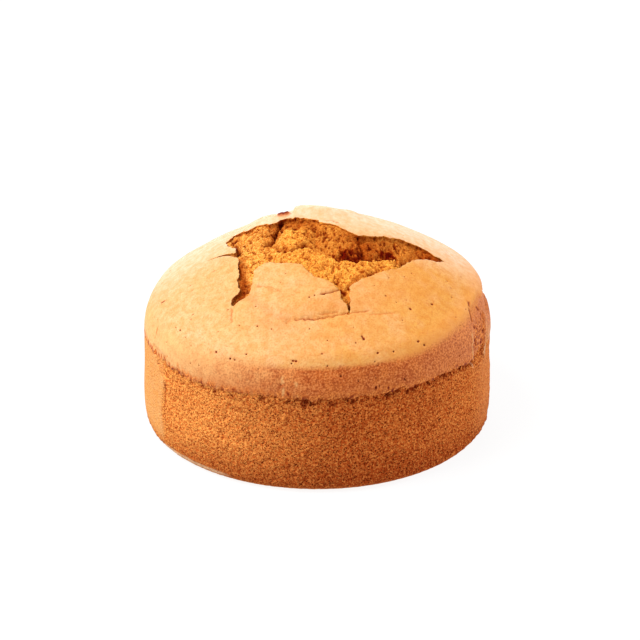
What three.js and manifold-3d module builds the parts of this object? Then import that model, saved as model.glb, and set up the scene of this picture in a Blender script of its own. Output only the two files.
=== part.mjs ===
// A tall round sponge cake whose domed top burst open in the oven.
// The side is bare crumb, where the lining paper pulled the skin away. Above a torn edge
// the baked crust turns over a shoulder into the dome. The dome is split by a wide burst
// that shows the crumb, and a tongue of crust is left standing in the front of it.
// Millimetres, +Z up, origin in the middle of the flat base, front at -Y.
import * as THREE from "three";
import { mergeVertices } from "three/addons/utils/BufferGeometryUtils.js";
import Module from "manifold-3d";

const { clamp, degToRad, lerp, smoothstep } = THREE.MathUtils;

// Driving dimensions of the whole cake.
const RADIUS = 90;
const SHOULDER_HEIGHT = 71.5;
const DOME_RISE = 35;
const CRUST_EDGE_HEIGHT = 51;

// Side: base edge, bare crumb wall that spreads a little downwards, and the step up to the crust.
const BASE_EDGE_RADIUS = 5;
const BASE_SPREAD = 1.8;
const SPREAD_HEIGHT = 14;
const SKIN_STEP = 1;
const GROOVE_DEPTH = 1.6;
const GROOVE_BELOW_EDGE = 0.6;
const GROOVE_RUN = 2;
const EDGE_WANDER = 1.6;
const EDGE_WANDER_TURN = 0.6;
const EDGE_RAGGEDNESS = 1;
const EDGE_TOOTH = 7;
const SIDE_UNEVENNESS = 0.3;
const SIDE_WAVES = 3;
const SIDE_WAVE_RISE = 20;

// Dome: a power curve over the shoulder's radius, leaning a little to the right.
const SHOULDER_RADIUS = 84.6;
const DOME_EDGE_RADIUS = 82;
const SHOULDER_DRAFT = 0.8;
const DOME_POWER = 1.8;
const LEAN = 0.033;

// Mesh density.
const TURN_STEPS = 108;
const BASE_EDGE_RINGS = 3;
const WALL_RINGS = 6;
const SHOULDER_RINGS = 7;
const DOME_RINGS = 17;
const CRUMB_STEP = 1.7;
const TEAR_STEP = 2.4;
const MERGE_DISTANCE = 1e-3;

// The burst, seen from above. Each torn edge starts where the one before ends, and the last closes.
const BURST_EDGES = {
  rearLip: [[-42, 15], [-29, 11.8], [-17, 11], [-6.9, 9.2], [2.3, 2], [11.4, -2.7], [16.7, -7.3], [22.1, -9.1]],
  rearRightLip: [[32.2, -4.7], [43.4, -0.2], [52.6, 0.1], [66.1, -2.9]],
  rightLip: [[61.5, -7.3], [54.8, -12], [47.2, -19.6], [41.5, -28.2], [26.9, -39.5], [16.7, -47.7]],
  rightLegOuter: [[16.5, -55.8], [15.4, -63.3]],
  rightLegInner: [[13.7, -54.7], [11.6, -52.4]],
  tongueRight: [[9.2, -50.2], [2.2, -46.1], [-4.8, -41], [-7.5, -35.9]],
  tongueLeft: [[-12.8, -33.7], [-24.5, -29.2], [-31.1, -32.6], [-31.9, -37.2], [-33.8, -47.3]],
  leftLegInner: [[-41.3, -50.9]],
  leftLegOuter: [[-42.2, -48.9], [-38.8, -43.4], [-39.7, -35.9], [-38.7, -31.4], [-40.5, -16]],
  crackOut: [[-48, -8.3], [-57, -4.8]],
  crackBack: [[-48, -6.3], [-41.5, -10.5]],
  nib: [[-41.5, -5.5]],
  nibBack: [[-45.2, 0], [-47.4, 8.6]],
};
const TEAR_RAGGEDNESS = 0.5;
const TEAR_PACE = 0.9;

// The tongue swells a little and folds along a crease at its foot.
const TONGUE_MIDDLE = [-11, -50];
const TONGUE_SPAN = [24, 19];
const TONGUE_LIFT = 2;
const CREASE = [[-32.5, -49.1], [-27, -56.2], [-20.8, -63.1], [-13.7, -65.8], [-4.7, -66], [3, -65.2], [13.9, -62.9]];
const CREASE_WIDTH = 2.2;
const CREASE_DEPTH = 1.3;

// Behind the burst the crust is broken into plates that ride up, each higher than the one to its left.
const PLATES = [
  { left: -40, run: 12, lift: 2.8 },
  { left: -13.5, run: 3, lift: 2 },
];
const PLATE_FRONT = { from: 7, to: 17 };
const PLATE_FALL_RADIUS = { from: 14, to: 50 };
const PLATE_FALL_RIGHT = { from: 2, to: 34 };

// Crumb in the burst: close under the crust in front, deeper towards the rear lip.
const CRUMB_DEPTH = 2.4;
const LEAST_CRUMB_DEPTH = 1.2;
const REAR_SINK = 4.5;
const SINK_FROM_Y = -32;
const SINK_TO_Y = 0;
const CRUMB_FOOT_HEIGHT = 45;
const CRUMB_MARGIN = 2;
const CRAG_HEIGHT = 1.6;
const CRAG_SIZE = 6;
const SMALL_CRAG_SHARE = 0.6;
const SMALL_CRAGS_PER_CRAG = 2.1;
const MOUNDS = [
  { at: [-11, -5], radius: 10, rise: 4 },
  { at: [9, -8], radius: 9, rise: 4.5 },
  { at: [-34, 2], radius: 11, rise: 4 },
];
const FISSURES = [
  { path: [[6, -22], [10, -24.5], [17.5, -25], [27, -21.5], [37, -16.5], [48, -13]], width: 3.4, depth: 6 },
  { path: [[-19.5, 13], [-21.3, 6], [-23, -2], [-24.8, -9]], width: 2, depth: 4.5 },
  { path: [[-25, -13], [-16, -18.6], [-7, -16.5], [-2.6, -18.2], [2.7, -22.6]], width: 1.8, depth: 2.4 },
  { path: [[-43, 5.5], [-40.8, 1], [-40, -5]], width: 1.8, depth: 4 },
  { path: [[-40.3, -14], [-39, -28], [-37.5, -40], [-40.5, -50]], width: 2.4, depth: 2.4 },
  { path: [[14.8, -53], [15.6, -63]], width: 2, depth: 2 },
];

// Marks that the lining paper left on the side, by the angle round the cake.
const TORN_STRIP = { footAngle: degToRad(-25.2), headAngle: degToRad(-16.5), halfWidth: degToRad(5.5), depth: 1.8 };
const TORN_STRIP_SPAN = { low: 42, high: 74, footRun: 6, headRun: 4, flat: 0.6 };
const PAPER_LAPS = [
  { middle: degToRad(193), halfWidth: degToRad(18), top: 54, proud: 0.9 },
  { middle: degToRad(7), halfWidth: degToRad(24), top: 68, proud: 1.1 },
];
const PAPER_LAP_RUN = { side: degToRad(4), head: 6 };

const CRUST_COLOUR = 0xe9a75a;

// Smooth uneven value between -1 and 1 over a plane, the same on each run.
function uneven(x, y) {
  const corner = (i, j) => {
    const scattered = Math.sin(i * 127.1 + j * 311.7) * 43758.5453;
    return 2 * (scattered - Math.floor(scattered)) - 1;
  };
  const [i, j] = [Math.floor(x), Math.floor(y)];
  const [u, v] = [smoothstep(x - i, 0, 1), smoothstep(y - j, 0, 1)];
  const near = lerp(corner(i, j), corner(i + 1, j), u);
  const far = lerp(corner(i, j + 1), corner(i + 1, j + 1), u);
  return lerp(near, far, v);
}

function distanceToPath(path, x, y) {
  let nearest = Infinity;
  for (let i = 1; i < path.length; i++) {
    const [ax, ay] = path[i - 1];
    const [bx, by] = path[i];
    const along = ((x - ax) * (bx - ax) + (y - ay) * (by - ay)) / ((bx - ax) ** 2 + (by - ay) ** 2);
    const t = clamp(along, 0, 1);
    nearest = Math.min(nearest, Math.hypot(x - ax - t * (bx - ax), y - ay - t * (by - ay)));
  }
  return nearest;
}

// 1 on a path or point, fading to 0 over the given width or radius.
const groove = (path, width, x, y) => Math.exp(-((distanceToPath(path, x, y) / width) ** 2));
const mound = ([cx, cy], radius, x, y) => Math.exp(-((Math.hypot(x - cx, y - cy) / radius) ** 2));

// Dome

function domeHeight(x, y) {
  const share = Math.hypot(x, y) / SHOULDER_RADIUS;
  return SHOULDER_HEIGHT + DOME_RISE * (1 - share ** DOME_POWER) + LEAN * x;
}

function plateLift(x, y) {
  const behind = smoothstep(y, PLATE_FRONT.from, PLATE_FRONT.to);
  const near = 1 - smoothstep(Math.hypot(x, y), PLATE_FALL_RADIUS.from, PLATE_FALL_RADIUS.to);
  const left = 1 - smoothstep(x, PLATE_FALL_RIGHT.from, PLATE_FALL_RIGHT.to);
  let lift = 0;
  for (const plate of PLATES) lift += plate.lift * smoothstep(x, plate.left, plate.left + plate.run);
  return lift * behind * near * left;
}

function tongueLift(x, y) {
  const u = (x - TONGUE_MIDDLE[0]) / TONGUE_SPAN[0];
  const v = (y - TONGUE_MIDDLE[1]) / TONGUE_SPAN[1];
  return TONGUE_LIFT * Math.max(0, 1 - u * u - v * v);
}

function crustHeight(x, y) {
  const crease = CREASE_DEPTH * groove(CREASE, CREASE_WIDTH, x, y);
  return domeHeight(x, y) + plateLift(x, y) + tongueLift(x, y) - crease;
}

// Side

function crustEdgeHeight(angle) {
  const slow = EDGE_WANDER * Math.sin(angle + EDGE_WANDER_TURN);
  const along = RADIUS * angle;
  return CRUST_EDGE_HEIGHT + slow + EDGE_RAGGEDNESS * uneven(along / EDGE_TOOTH, 0);
}

// The strip torn off with the paper on the right leans as it rises.
function tornStrip(angle, height) {
  const { low, high, footRun, headRun, flat } = TORN_STRIP_SPAN;
  const { footAngle, headAngle, halfWidth, depth } = TORN_STRIP;
  const middle = lerp(footAngle, headAngle, clamp((height - low) / (high - low), 0, 1) ** 2);
  const across = 1 - smoothstep(Math.abs(angle - middle), flat * halfWidth, halfWidth);
  const along = smoothstep(height, low, low + footRun) * (1 - smoothstep(height, high - headRun, high));
  return depth * across * along;
}

// At either side the paper lapped over itself, and the skin under the lap stayed on.
function paperLap(angle, height) {
  const { side, head } = PAPER_LAP_RUN;
  let proud = 0;
  for (const lap of PAPER_LAPS) {
    const turn = Math.abs(Math.atan2(Math.sin(angle - lap.middle), Math.cos(angle - lap.middle)));
    const across = 1 - smoothstep(turn, lap.halfWidth - side, lap.halfWidth);
    proud += lap.proud * across * (1 - smoothstep(height, lap.top - head, lap.top));
  }
  return proud;
}

// The crust leaves its torn edge upright and turns over into the dome's own slope.
function shoulderCurve() {
  const cornerRadius = RADIUS - SHOULDER_DRAFT;
  const domeEdge = domeHeight(0, DOME_EDGE_RADIUS);
  const slope = domeHeight(0, DOME_EDGE_RADIUS - 1) - domeEdge;
  return new THREE.QuadraticBezierCurve(
    new THREE.Vector2(RADIUS, CRUST_EDGE_HEIGHT),
    new THREE.Vector2(cornerRadius, domeEdge - slope * (cornerRadius - DOME_EDGE_RADIUS)),
    new THREE.Vector2(DOME_EDGE_RADIUS, domeEdge),
  );
}

// Half section from the middle of the base, out, up the side and over the dome to the axis.
function halfSection() {
  const wallRadius = RADIUS - SKIN_STEP;
  const footRadius = wallRadius + BASE_SPREAD;
  const edge = CRUST_EDGE_HEIGHT;
  const points = [];
  const put = (radius, height) => points.push(new THREE.Vector2(radius, height));
  for (const share of [0, 0.5]) put(share * footRadius, 0);
  for (let i = 0; i <= BASE_EDGE_RINGS; i++) {
    const turn = (Math.PI / 2) * (i / BASE_EDGE_RINGS);
    put(footRadius - BASE_EDGE_RADIUS * (1 - Math.sin(turn)), BASE_EDGE_RADIUS * (1 - Math.cos(turn)));
  }
  for (let i = 1; i <= WALL_RINGS; i++) {
    const share = i / WALL_RINGS;
    const height = lerp(BASE_EDGE_RADIUS, edge - GROOVE_RUN, share);
    put(footRadius - BASE_SPREAD * smoothstep(height, SPREAD_HEIGHT, edge), height);
  }
  put(wallRadius - GROOVE_DEPTH, edge - GROOVE_BELOW_EDGE);
  points.push(...shoulderCurve().getPoints(SHOULDER_RINGS));
  for (let i = 1; i <= DOME_RINGS; i++) {
    const radius = DOME_EDGE_RADIUS * (1 - i / DOME_RINGS);
    put(radius, domeHeight(0, radius));
  }
  return points;
}

// Moves a point of the plain turned cake to where the real, uneven one has it.
function shapeCake(point) {
  const angle = Math.atan2(point.y, point.x);
  const radius = Math.hypot(point.x, point.y);
  const height = point.z;
  if (radius <= DOME_EDGE_RADIUS + MERGE_DISTANCE && height > CRUST_EDGE_HEIGHT) {
    point.z = crustHeight(point.x, point.y);
    return;
  }
  const raised = smoothstep(height, CRUST_EDGE_HEIGHT, SHOULDER_HEIGHT);
  const nearEdge = smoothstep(height, BASE_EDGE_RADIUS, CRUST_EDGE_HEIGHT) * (1 - raised);
  const onSide = smoothstep(height, 0, BASE_EDGE_RADIUS);
  const [u, v] = [SIDE_WAVES * Math.cos(angle), SIDE_WAVES * Math.sin(angle)];
  const waves = SIDE_UNEVENNESS * uneven(u + height / SIDE_WAVE_RISE, v);
  const moved = radius + onSide * (waves + paperLap(angle, height) - tornStrip(angle, height));
  point.set(Math.cos(angle) * moved, Math.sin(angle) * moved, height);
  point.z += LEAN * point.x * raised + (crustEdgeHeight(angle) - CRUST_EDGE_HEIGHT) * nearEdge;
}

function bakedCake() {
  const geometry = new THREE.LatheGeometry(halfSection(), TURN_STEPS).rotateX(Math.PI / 2);
  return movePoints(geometry, shapeCake);
}

// Burst

// The burst's outline: a smooth curve along each torn edge, with the crust's small zigzag.
function tornOutline() {
  const outline = [];
  let start = Object.values(BURST_EDGES).at(-1).at(-1);
  for (const edge of Object.values(BURST_EDGES)) {
    const curve = new THREE.SplineCurve([start, ...edge].map(([x, y]) => new THREE.Vector2(x, y)));
    const steps = Math.max(1, Math.round(curve.getLength() / TEAR_STEP));
    for (let step = 0; step < steps; step++) {
      const aside = step ? TEAR_RAGGEDNESS * uneven(TEAR_PACE * step + start[0], start[1]) : 0;
      const along = curve.getTangentAt(step / steps);
      const across = new THREE.Vector2(-along.y, along.x);
      outline.push(curve.getPointAt(step / steps).addScaledVector(across, aside));
    }
    start = edge.at(-1);
  }
  return outline;
}

// Everything inside the torn outline, from deep in the crumb to above the dome.
function burstShaft() {
  const depth = SHOULDER_HEIGHT + DOME_RISE;
  const shaft = new THREE.ExtrudeGeometry(new THREE.Shape(tornOutline()), { depth, bevelEnabled: false });
  return shaft.translate(0, 0, CRUMB_FOOT_HEIGHT);
}

function crumbHeight(x, y) {
  const crust = crustHeight(x, y);
  const behind = smoothstep(y, SINK_FROM_Y, SINK_TO_Y);
  let height = crust - CRUMB_DEPTH - REAR_SINK * behind;
  for (const { at, radius, rise } of MOUNDS) height += rise * mound(at, radius, x, y);
  for (const { path, width, depth } of FISSURES) height -= depth * groove(path, width, x, y);
  const [u, v] = [x / CRAG_SIZE, y / CRAG_SIZE];
  const fine = SMALL_CRAGS_PER_CRAG;
  const crags = uneven(u, v) + SMALL_CRAG_SHARE * uneven(fine * u, fine * v);
  return Math.min(height + CRAG_HEIGHT * crags, crust - LEAST_CRUMB_DEPTH);
}

function crumbBlock() {
  const box = new THREE.Box2().setFromPoints(tornOutline()).expandByScalar(CRUMB_MARGIN);
  const size = box.getSize(new THREE.Vector2());
  const middle = box.getCenter(new THREE.Vector2());
  const [columns, rows] = [size.x, size.y].map((side) => Math.round(side / CRUMB_STEP));
  const block = new THREE.BoxGeometry(size.x, size.y, 1, columns, rows, 1).translate(middle.x, middle.y, 0);
  return movePoints(block, (point) => {
    point.z = point.z > 0 ? crumbHeight(point.x, point.y) : CRUMB_FOOT_HEIGHT - 1;
  });
}

// Solids

function movePoints(geometry, move) {
  const positions = geometry.attributes.position;
  const point = new THREE.Vector3();
  for (let i = 0; i < positions.count; i++) {
    move(point.fromBufferAttribute(positions, i));
    positions.setXYZ(i, point.x, point.y, point.z);
  }
  return geometry;
}

const wasm = await Module();
wasm.setup();

function solid(geometry) {
  geometry.deleteAttribute("normal");
  geometry.deleteAttribute("uv");
  const merged = mergeVertices(geometry, MERGE_DISTANCE);
  return new wasm.Manifold(new wasm.Mesh({
    numProp: 3,
    vertProperties: merged.attributes.position.array,
    triVerts: new Uint32Array(merged.index.array),
  }));
}

function geometryOf(made) {
  const mesh = made.getMesh();
  return new THREE.BufferGeometry()
    .setAttribute("position", new THREE.BufferAttribute(mesh.vertProperties, 3))
    .setIndex(new THREE.BufferAttribute(mesh.triVerts, 1));
}

const opening = solid(burstShaft()).subtract(solid(crumbBlock()));
const cakeSolid = solid(bakedCake()).subtract(opening);
const cake = new THREE.Mesh(
  geometryOf(cakeSolid),
  new THREE.MeshStandardMaterial({ color: CRUST_COLOUR, roughness: 0.8, metalness: 0 }),
);
cake.name = "sponge_cake";

const part = new THREE.Group();
part.add(cake);

export default part;
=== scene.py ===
from math import radians

import bpy
import numpy as np
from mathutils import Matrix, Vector, geometry, kdtree, noise


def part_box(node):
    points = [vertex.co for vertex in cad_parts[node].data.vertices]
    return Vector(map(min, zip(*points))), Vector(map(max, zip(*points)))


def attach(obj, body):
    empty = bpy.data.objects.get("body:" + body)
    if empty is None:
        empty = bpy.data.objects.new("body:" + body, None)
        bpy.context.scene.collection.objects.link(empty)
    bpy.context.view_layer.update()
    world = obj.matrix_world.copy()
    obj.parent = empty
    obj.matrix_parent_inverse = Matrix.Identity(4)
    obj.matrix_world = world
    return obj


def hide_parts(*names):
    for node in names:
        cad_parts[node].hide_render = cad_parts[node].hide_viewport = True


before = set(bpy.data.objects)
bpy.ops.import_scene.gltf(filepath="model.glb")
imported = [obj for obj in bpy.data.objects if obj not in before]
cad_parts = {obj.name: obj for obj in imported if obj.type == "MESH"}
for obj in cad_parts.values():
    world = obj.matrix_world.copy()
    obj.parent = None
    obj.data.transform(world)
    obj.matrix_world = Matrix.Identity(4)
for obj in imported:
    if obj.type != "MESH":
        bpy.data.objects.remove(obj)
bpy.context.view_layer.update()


# The baked dome
# A stiff batter rose well above its tin, and its top dried to a smooth thin crust. It is shaped
# as a height over the plan, in millimetres, with its swells, creases and risen rear plates.
MM = 0.001
low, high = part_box("sponge_cake")
CAKE_RADIUS = (high.x - low.x) / 2 / MM
CAKE_HEIGHT = high.z / MM
CRUST_RADIUS = 0.98 * CAKE_RADIUS
SHOULDER_RADIUS = 0.94 * CRUST_RADIUS
SHOULDER_HEIGHT = 0.6555 * CAKE_HEIGHT
DOME_RISE = 0.321 * CAKE_HEIGHT
DOME_POWER = 1.8
LEAN = 0.033

TONGUE_MIDDLE = (-11, -50)
TONGUE_SPAN = (24, 19)
TONGUE_LIFT = 2
SWELLS = [
    dict(middle=(-37, -54.5), radius=5, lift=1.2),
    dict(middle=(-27.5, -37), radius=5.5, lift=0.8),
    dict(middle=(-30, -47), radius=4, lift=0.6),
    dict(middle=(-4.5, -49.3), radius=4, lift=-0.7),
    dict(middle=(-55, -20), radius=9, lift=-0.6),
    dict(middle=(-29, 24), radius=9, lift=2),
    dict(middle=(-9, 24), radius=6, lift=1.1),
    dict(middle=(9, 24), radius=6, lift=-0.9),
    dict(middle=(18, 22), radius=5, lift=1.1),
]
PLATES = [dict(left=-40, run=12, lift=2.8), dict(left=-12.4, run=0.9, lift=2)]
PLATE_FRONT = (7, 17)
PLATE_FALL_RADIUS = (14, 50)
PLATE_FALL_RIGHT = (2, 34)
PLATE_STEP = [(-12, 8), (-12, 30)]
CREASES = [
    dict(path=[(-32.5, -49.1), (-27, -56.2), (-20.8, -63.1), (-13.7, -65.8)],
         width=2.2, depth=1.1, flush=0.2),
    dict(path=[(-13.7, -65.8), (-4.7, -66), (3, -65.2), (13.9, -62.9)], width=1.8, depth=0.8, flush=0.12),
    dict(path=[(-10.8, -65.9), (-4.7, -66), (-0.4, -66.1), (3, -65.2), (7.4, -64.6), (10.9, -63.9),
               (13.9, -62.9), (15.4, -63.2)], width=0.4, depth=0.9, flush=0.75),
    dict(path=[(1, -64.1), (6, -63.3), (10.5, -62.5)], width=0.4, depth=0.4, flush=0.45),
    dict(path=[(2, -54.7), (3.9, -54.2), (6.1, -53.7), (8.1, -52.5), (9.4, -51.9), (10.7, -51.5)],
         width=0.45, depth=1.3, flush=1),
    dict(path=[(-29.5, -44.3), (-24.1, -46.9), (-20.1, -49.5), (-17.9, -51.5)],
         width=0.5, depth=0.45, flush=0.35),
    dict(path=[(-24.1, -48.8), (-20.6, -51.1)], width=0.5, depth=0.25, flush=0.2),
    dict(path=[(16.1, -63), (19.6, -62.2), (25, -60.4)], width=0.5, depth=0.45, flush=0.5),
    dict(path=[(25.7, -62.4), (30.9, -60.8), (38, -58.5)], width=0.5, depth=0.3, flush=0.35),
    dict(path=[(-42, -51.5), (-42.3, -55.5), (-42.2, -59.4)], width=0.6, depth=0.5, flush=0.4),
    dict(path=[(5.6, 4.9), (8.2, 5.4), (10.2, 3.5), (11.7, 2.2)], width=0.6, depth=0.9, flush=0.7),
]
FLUSHES = [
    dict(path=[(2, -61), (14, -59.5), (26, -57)], width=5, flush=0.12),
    dict(path=[(-26, -64), (-20, -68.5), (-12, -69)], width=4, flush=0.14),
    dict(path=[(22, -50), (40, -44), (52, -38)], width=9, flush=0.07),
]
THIN_CREASE = 0.7
CREASE_WANDER = 0.7
WANDER = dict(size=1.7, seed=44)
CRUST_UNEVEN = [(0.3, 16, 1), (0.1, 5, 2)]
SEED_APART = 37.3


def smooth(value, start, end):
    share = np.clip((value - start) / (end - start), 0, 1)
    return share * share * (3 - 2 * share)


def bell(value):
    return np.exp(-(value**2))


def uneven(points, size, seed):
    moved = np.asarray(points) / size + SEED_APART * seed
    return np.fromiter((noise.noise(p) for p in moved), float, len(moved))


# Each layer of unevenness has an amount and a size in millimetres, and a seed.
def layered(points, layers):
    return sum(amount * uneven(points, size, seed) for amount, size, seed in layers)


def upright(plan, height=0.0):
    return np.column_stack([plan, np.broadcast_to(height, len(plan))])


def distance_to(path, plan):
    nearest = np.full(len(plan), np.inf)
    corners = np.asarray(path, float)
    for start, end in zip(corners[:-1], corners[1:]):
        run = end - start
        along = np.clip((plan - start) @ run / (run @ run), 0, 1)
        nearest = np.minimum(nearest, np.hypot(*(plan - start - np.outer(along, run)).T))
    return nearest


def groove(path, width, plan, wander=0.0):
    if wander:
        plan = plan + wander * uneven(upright(plan), **WANDER)[:, None]
    return bell(distance_to(path, plan) / width)


def dome_height(plan):
    share = np.hypot(*plan.T) / SHOULDER_RADIUS
    return SHOULDER_HEIGHT + DOME_RISE * (1 - share**DOME_POWER) + LEAN * plan[:, 0]


def plate_lift(plan):
    x, y = plan.T
    rise = sum(p["lift"] * smooth(x, p["left"], p["left"] + p["run"]) for p in PLATES)
    near = 1 - smooth(np.hypot(x, y), *PLATE_FALL_RADIUS)
    return rise * smooth(y, *PLATE_FRONT) * near * (1 - smooth(x, *PLATE_FALL_RIGHT))


def crust_height(plan):
    across = (plan - TONGUE_MIDDLE) / TONGUE_SPAN
    height = dome_height(plan) + plate_lift(plan)
    height += TONGUE_LIFT * np.maximum(0, 1 - (across**2).sum(1))
    for swell in SWELLS:
        height += swell["lift"] * bell(np.hypot(*(plan - swell["middle"]).T) / swell["radius"])
    for crease in CREASES:
        height -= crease["depth"] * groove(crease["path"], crease["width"], plan, CREASE_WANDER)
    return height + layered(upright(plan), CRUST_UNEVEN)


# The torn outline of the burst
# Steam split the crust along these edges. Each starts where the one before ends, the last closes
# the loop, and the tear wanders by its own raggedness.
BURST_EDGES = [
    dict(points=[(-42, 15), (-36.5, 13.2), (-29, 11.8), (-21.6, 10.2), (-17, 11.5), (-12.4, 10.2),
                 (-6.9, 9.2), (-1.4, 6.9), (2.3, 2), (6.8, 0), (11.4, -2.7), (16.7, -7.3), (22.1, -9.1),
                 (32.2, -4.7)], ragged=0.7),
    dict(points=[(43.4, -0.2), (52.6, 0.1), (59.9, -1.7), (66.1, -2.9)], ragged=0.8),
    dict(points=[(61.5, -7.3), (54.8, -12), (47.2, -19.6), (41.5, -28.2), (34.2, -34.1), (26.9, -39.5),
                 (21.4, -44), (18, -46.4)], ragged=0.5),
    dict(points=[(15.9, -49), (16.5, -50.5), (15.8, -53.8), (16.3, -57.6), (16.1, -61.2),
                 (15.6, -63.6)], ragged=0.4),
    dict(points=[(14.9, -60.4), (14.2, -58.6), (13.1, -57.6), (11.9, -55.8), (11.6, -53.6)], ragged=0.3),
    dict(points=[(11.3, -51.7)], ragged=0.2),
    dict(points=[(10.4, -50.9)], ragged=0.1),
    dict(points=[(8.9, -49.4), (6.6, -47.7), (2.2, -46.1), (-1.3, -44.4), (-4.8, -41),
                 (-7.5, -35.9)], ragged=0.4),
    dict(points=[(-12.8, -33.7), (-20, -31.1), (-24.5, -29.2), (-28, -30.1), (-31.1, -32.6),
                 (-31.9, -37.2), (-32.6, -44), (-33.8, -47.3)], ragged=0.4),
    dict(points=[(-38.2, -49), (-41.3, -50.9)], ragged=0.4),
    dict(points=[(-42.2, -48.9), (-41.4, -45.4), (-38.8, -43.4), (-38.5, -40.1), (-39.7, -35.9),
                 (-38.7, -31.4), (-39.6, -25.4), (-40.5, -16)], ragged=0.6),
    dict(points=[(-48, -8), (-57, -4.5)], ragged=0.2),
    dict(points=[(-48, -6.7), (-41.5, -10.5)], ragged=0.2),
    dict(points=[(-41.5, -5.5)], ragged=0.4),
    dict(points=[(-45.2, 0), (-47.4, 8.6)], ragged=0.4),
]
TEAR_STEP = 0.65
SPLINE_STEPS = 40
RAGGED_REACH = 1.6
ZIGZAG = [(1, 3.2, 3), (0.5, 1.4, 4)]
EDGE_HOLD = 2
REAR_EDGES = 2


def torn_edge(points, ragged):
    ends = np.vstack([points[:1], points, points[-1:]])
    share = np.linspace(0, 1, SPLINE_STEPS, endpoint=False)[:, None]
    curve = []
    for before, start, end, after in zip(ends, ends[1:], ends[2:], ends[3:]):
        out, into = (end - before) / 2, (after - start) / 2
        cubic = 2 * start - 2 * end + out + into
        square = 3 * end - 3 * start - 2 * out - into
        curve.append(cubic * share**3 + square * share**2 + out * share + start)
    curve = np.vstack([*curve, points[-1:]])
    travel = np.concatenate([[0], np.cumsum(np.hypot(*np.diff(curve, axis=0).T))])
    count = max(2, round(travel[-1] / TEAR_STEP))
    at = np.arange(count) * travel[-1] / count
    edge = np.column_stack([np.interp(at, travel, axis) for axis in curve.T])
    away = np.gradient(edge, axis=0)
    away = np.column_stack([-away[:, 1], away[:, 0]]) / np.hypot(*away.T)[:, None]
    held = smooth(at, 0, EDGE_HOLD) * smooth(travel[-1] - at, 0, EDGE_HOLD)
    return edge + away * (RAGGED_REACH * ragged * layered(upright(edge), ZIGZAG) * held)[:, None]


edges, start = [], BURST_EDGES[-1]["points"][-1]
for edge in BURST_EDGES:
    edges.append(torn_edge(np.array([start, *edge["points"]], float), edge["ragged"]))
    start = edge["points"][-1]
lip = np.vstack(edges)
rear_lip = np.vstack(edges[:REAR_EDGES])


# The crumb inside the burst
# In front, golden sponge stands as a shelf close under the crust. From the rear lip it slopes down,
# over stretched strands, a mound and a slab, to a trench behind the shelf. Each shade here is painted
# shade: darker colour down the walls, in the clefts and in pools in the trench, where shadow falls.
SHELF_EDGE = [
    (-39.5, -7.5), (-31, -8), (-25, -13), (-16, -18.6), (-12.5, -19.7), (-7, -16.7), (-5.6, -14.8),
    (-2.6, -18.2), (2.7, -22.6), (7.5, -27), (17.5, -28), (27.6, -24.2), (39.5, -18.3), (42, -22.5),
]
SHELF_FRONT = [(40, -36), (18, -54), (15, -61), (4, -53), (-6, -50), (-20, -40), (-33, -40), (-37, -32)]
MOUND = [
    (-22, -6), (-19, 2), (-15, 5.5), (-9, 4.5), (-3, -1.5), (-2.2, -12.5), (-6.5, -16), (-12.7, -18.5),
    (-18, -16.5),
]
MASSES = [
    dict(outline=SHELF_EDGE + SHELF_FRONT, depth=2.2, edge=0.9, shade=0),
    dict(outline=MOUND, depth=2.8, edge=4.2, shade=0.12),
]
ROUNDING = 0.9
ROUNDING_RUN = 1.6
SLOPE_FOOT = [*SHELF_EDGE, (49, -17.5), (57, -9.3), (66, -3)]
# Painted shade: each slope's shade darkens the crumb where shadow falls under the rear lip and down to the
# trench.
SLOPES = [
    dict(x=-45, top=1.5, foot=3, shade=0.35), dict(x=-38, top=1.2, foot=3, shade=0.15),
    dict(x=-28, top=1.4, foot=3.5, shade=0.25), dict(x=-24, top=3.2, foot=4.4, shade=0.45),
    dict(x=-19, top=3.6, foot=5, shade=0.56), dict(x=-8, top=3.4, foot=4.6, shade=0.56),
    dict(x=-1, top=2.6, foot=6, shade=0.42), dict(x=6, top=1, foot=8, shade=0.35),
    dict(x=14, top=1.2, foot=9, shade=0.45), dict(x=22, top=3.5, foot=9.5, shade=0.64),
    dict(x=32, top=3, foot=9, shade=0.5), dict(x=44, top=2.5, foot=7, shade=0.42),
    dict(x=54, top=2, foot=4.5, shade=0.6), dict(x=66, top=1, foot=1.5, shade=0.8),
]
SLOPE_SHIFT = 2
SLOPE_END = 0.8
LEAST_RUN = 0.001
# Pools of painted shade in the trench behind the shelf, with lighter crumbs in them.
SHADE_POOLS = [dict(x=18.5, half=9, top=(0.18, 0.48)), dict(x=34.2, half=6.2, top=(0.12, 0.38))]
POOL_ARCH = 0.35
POOL_ARCH_POWER = 4
POOL_RAGGED = 0.16
POOL_CRUMB = dict(size=1.6, seed=45)
POOL_CRUMB_EDGE = (0, 0.4)
POOL_CRUMB_SHARE = 0.3
SHELF_CLEFT = [(x, y + 0.9) for x, y in SHELF_EDGE[3:9]]
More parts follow.
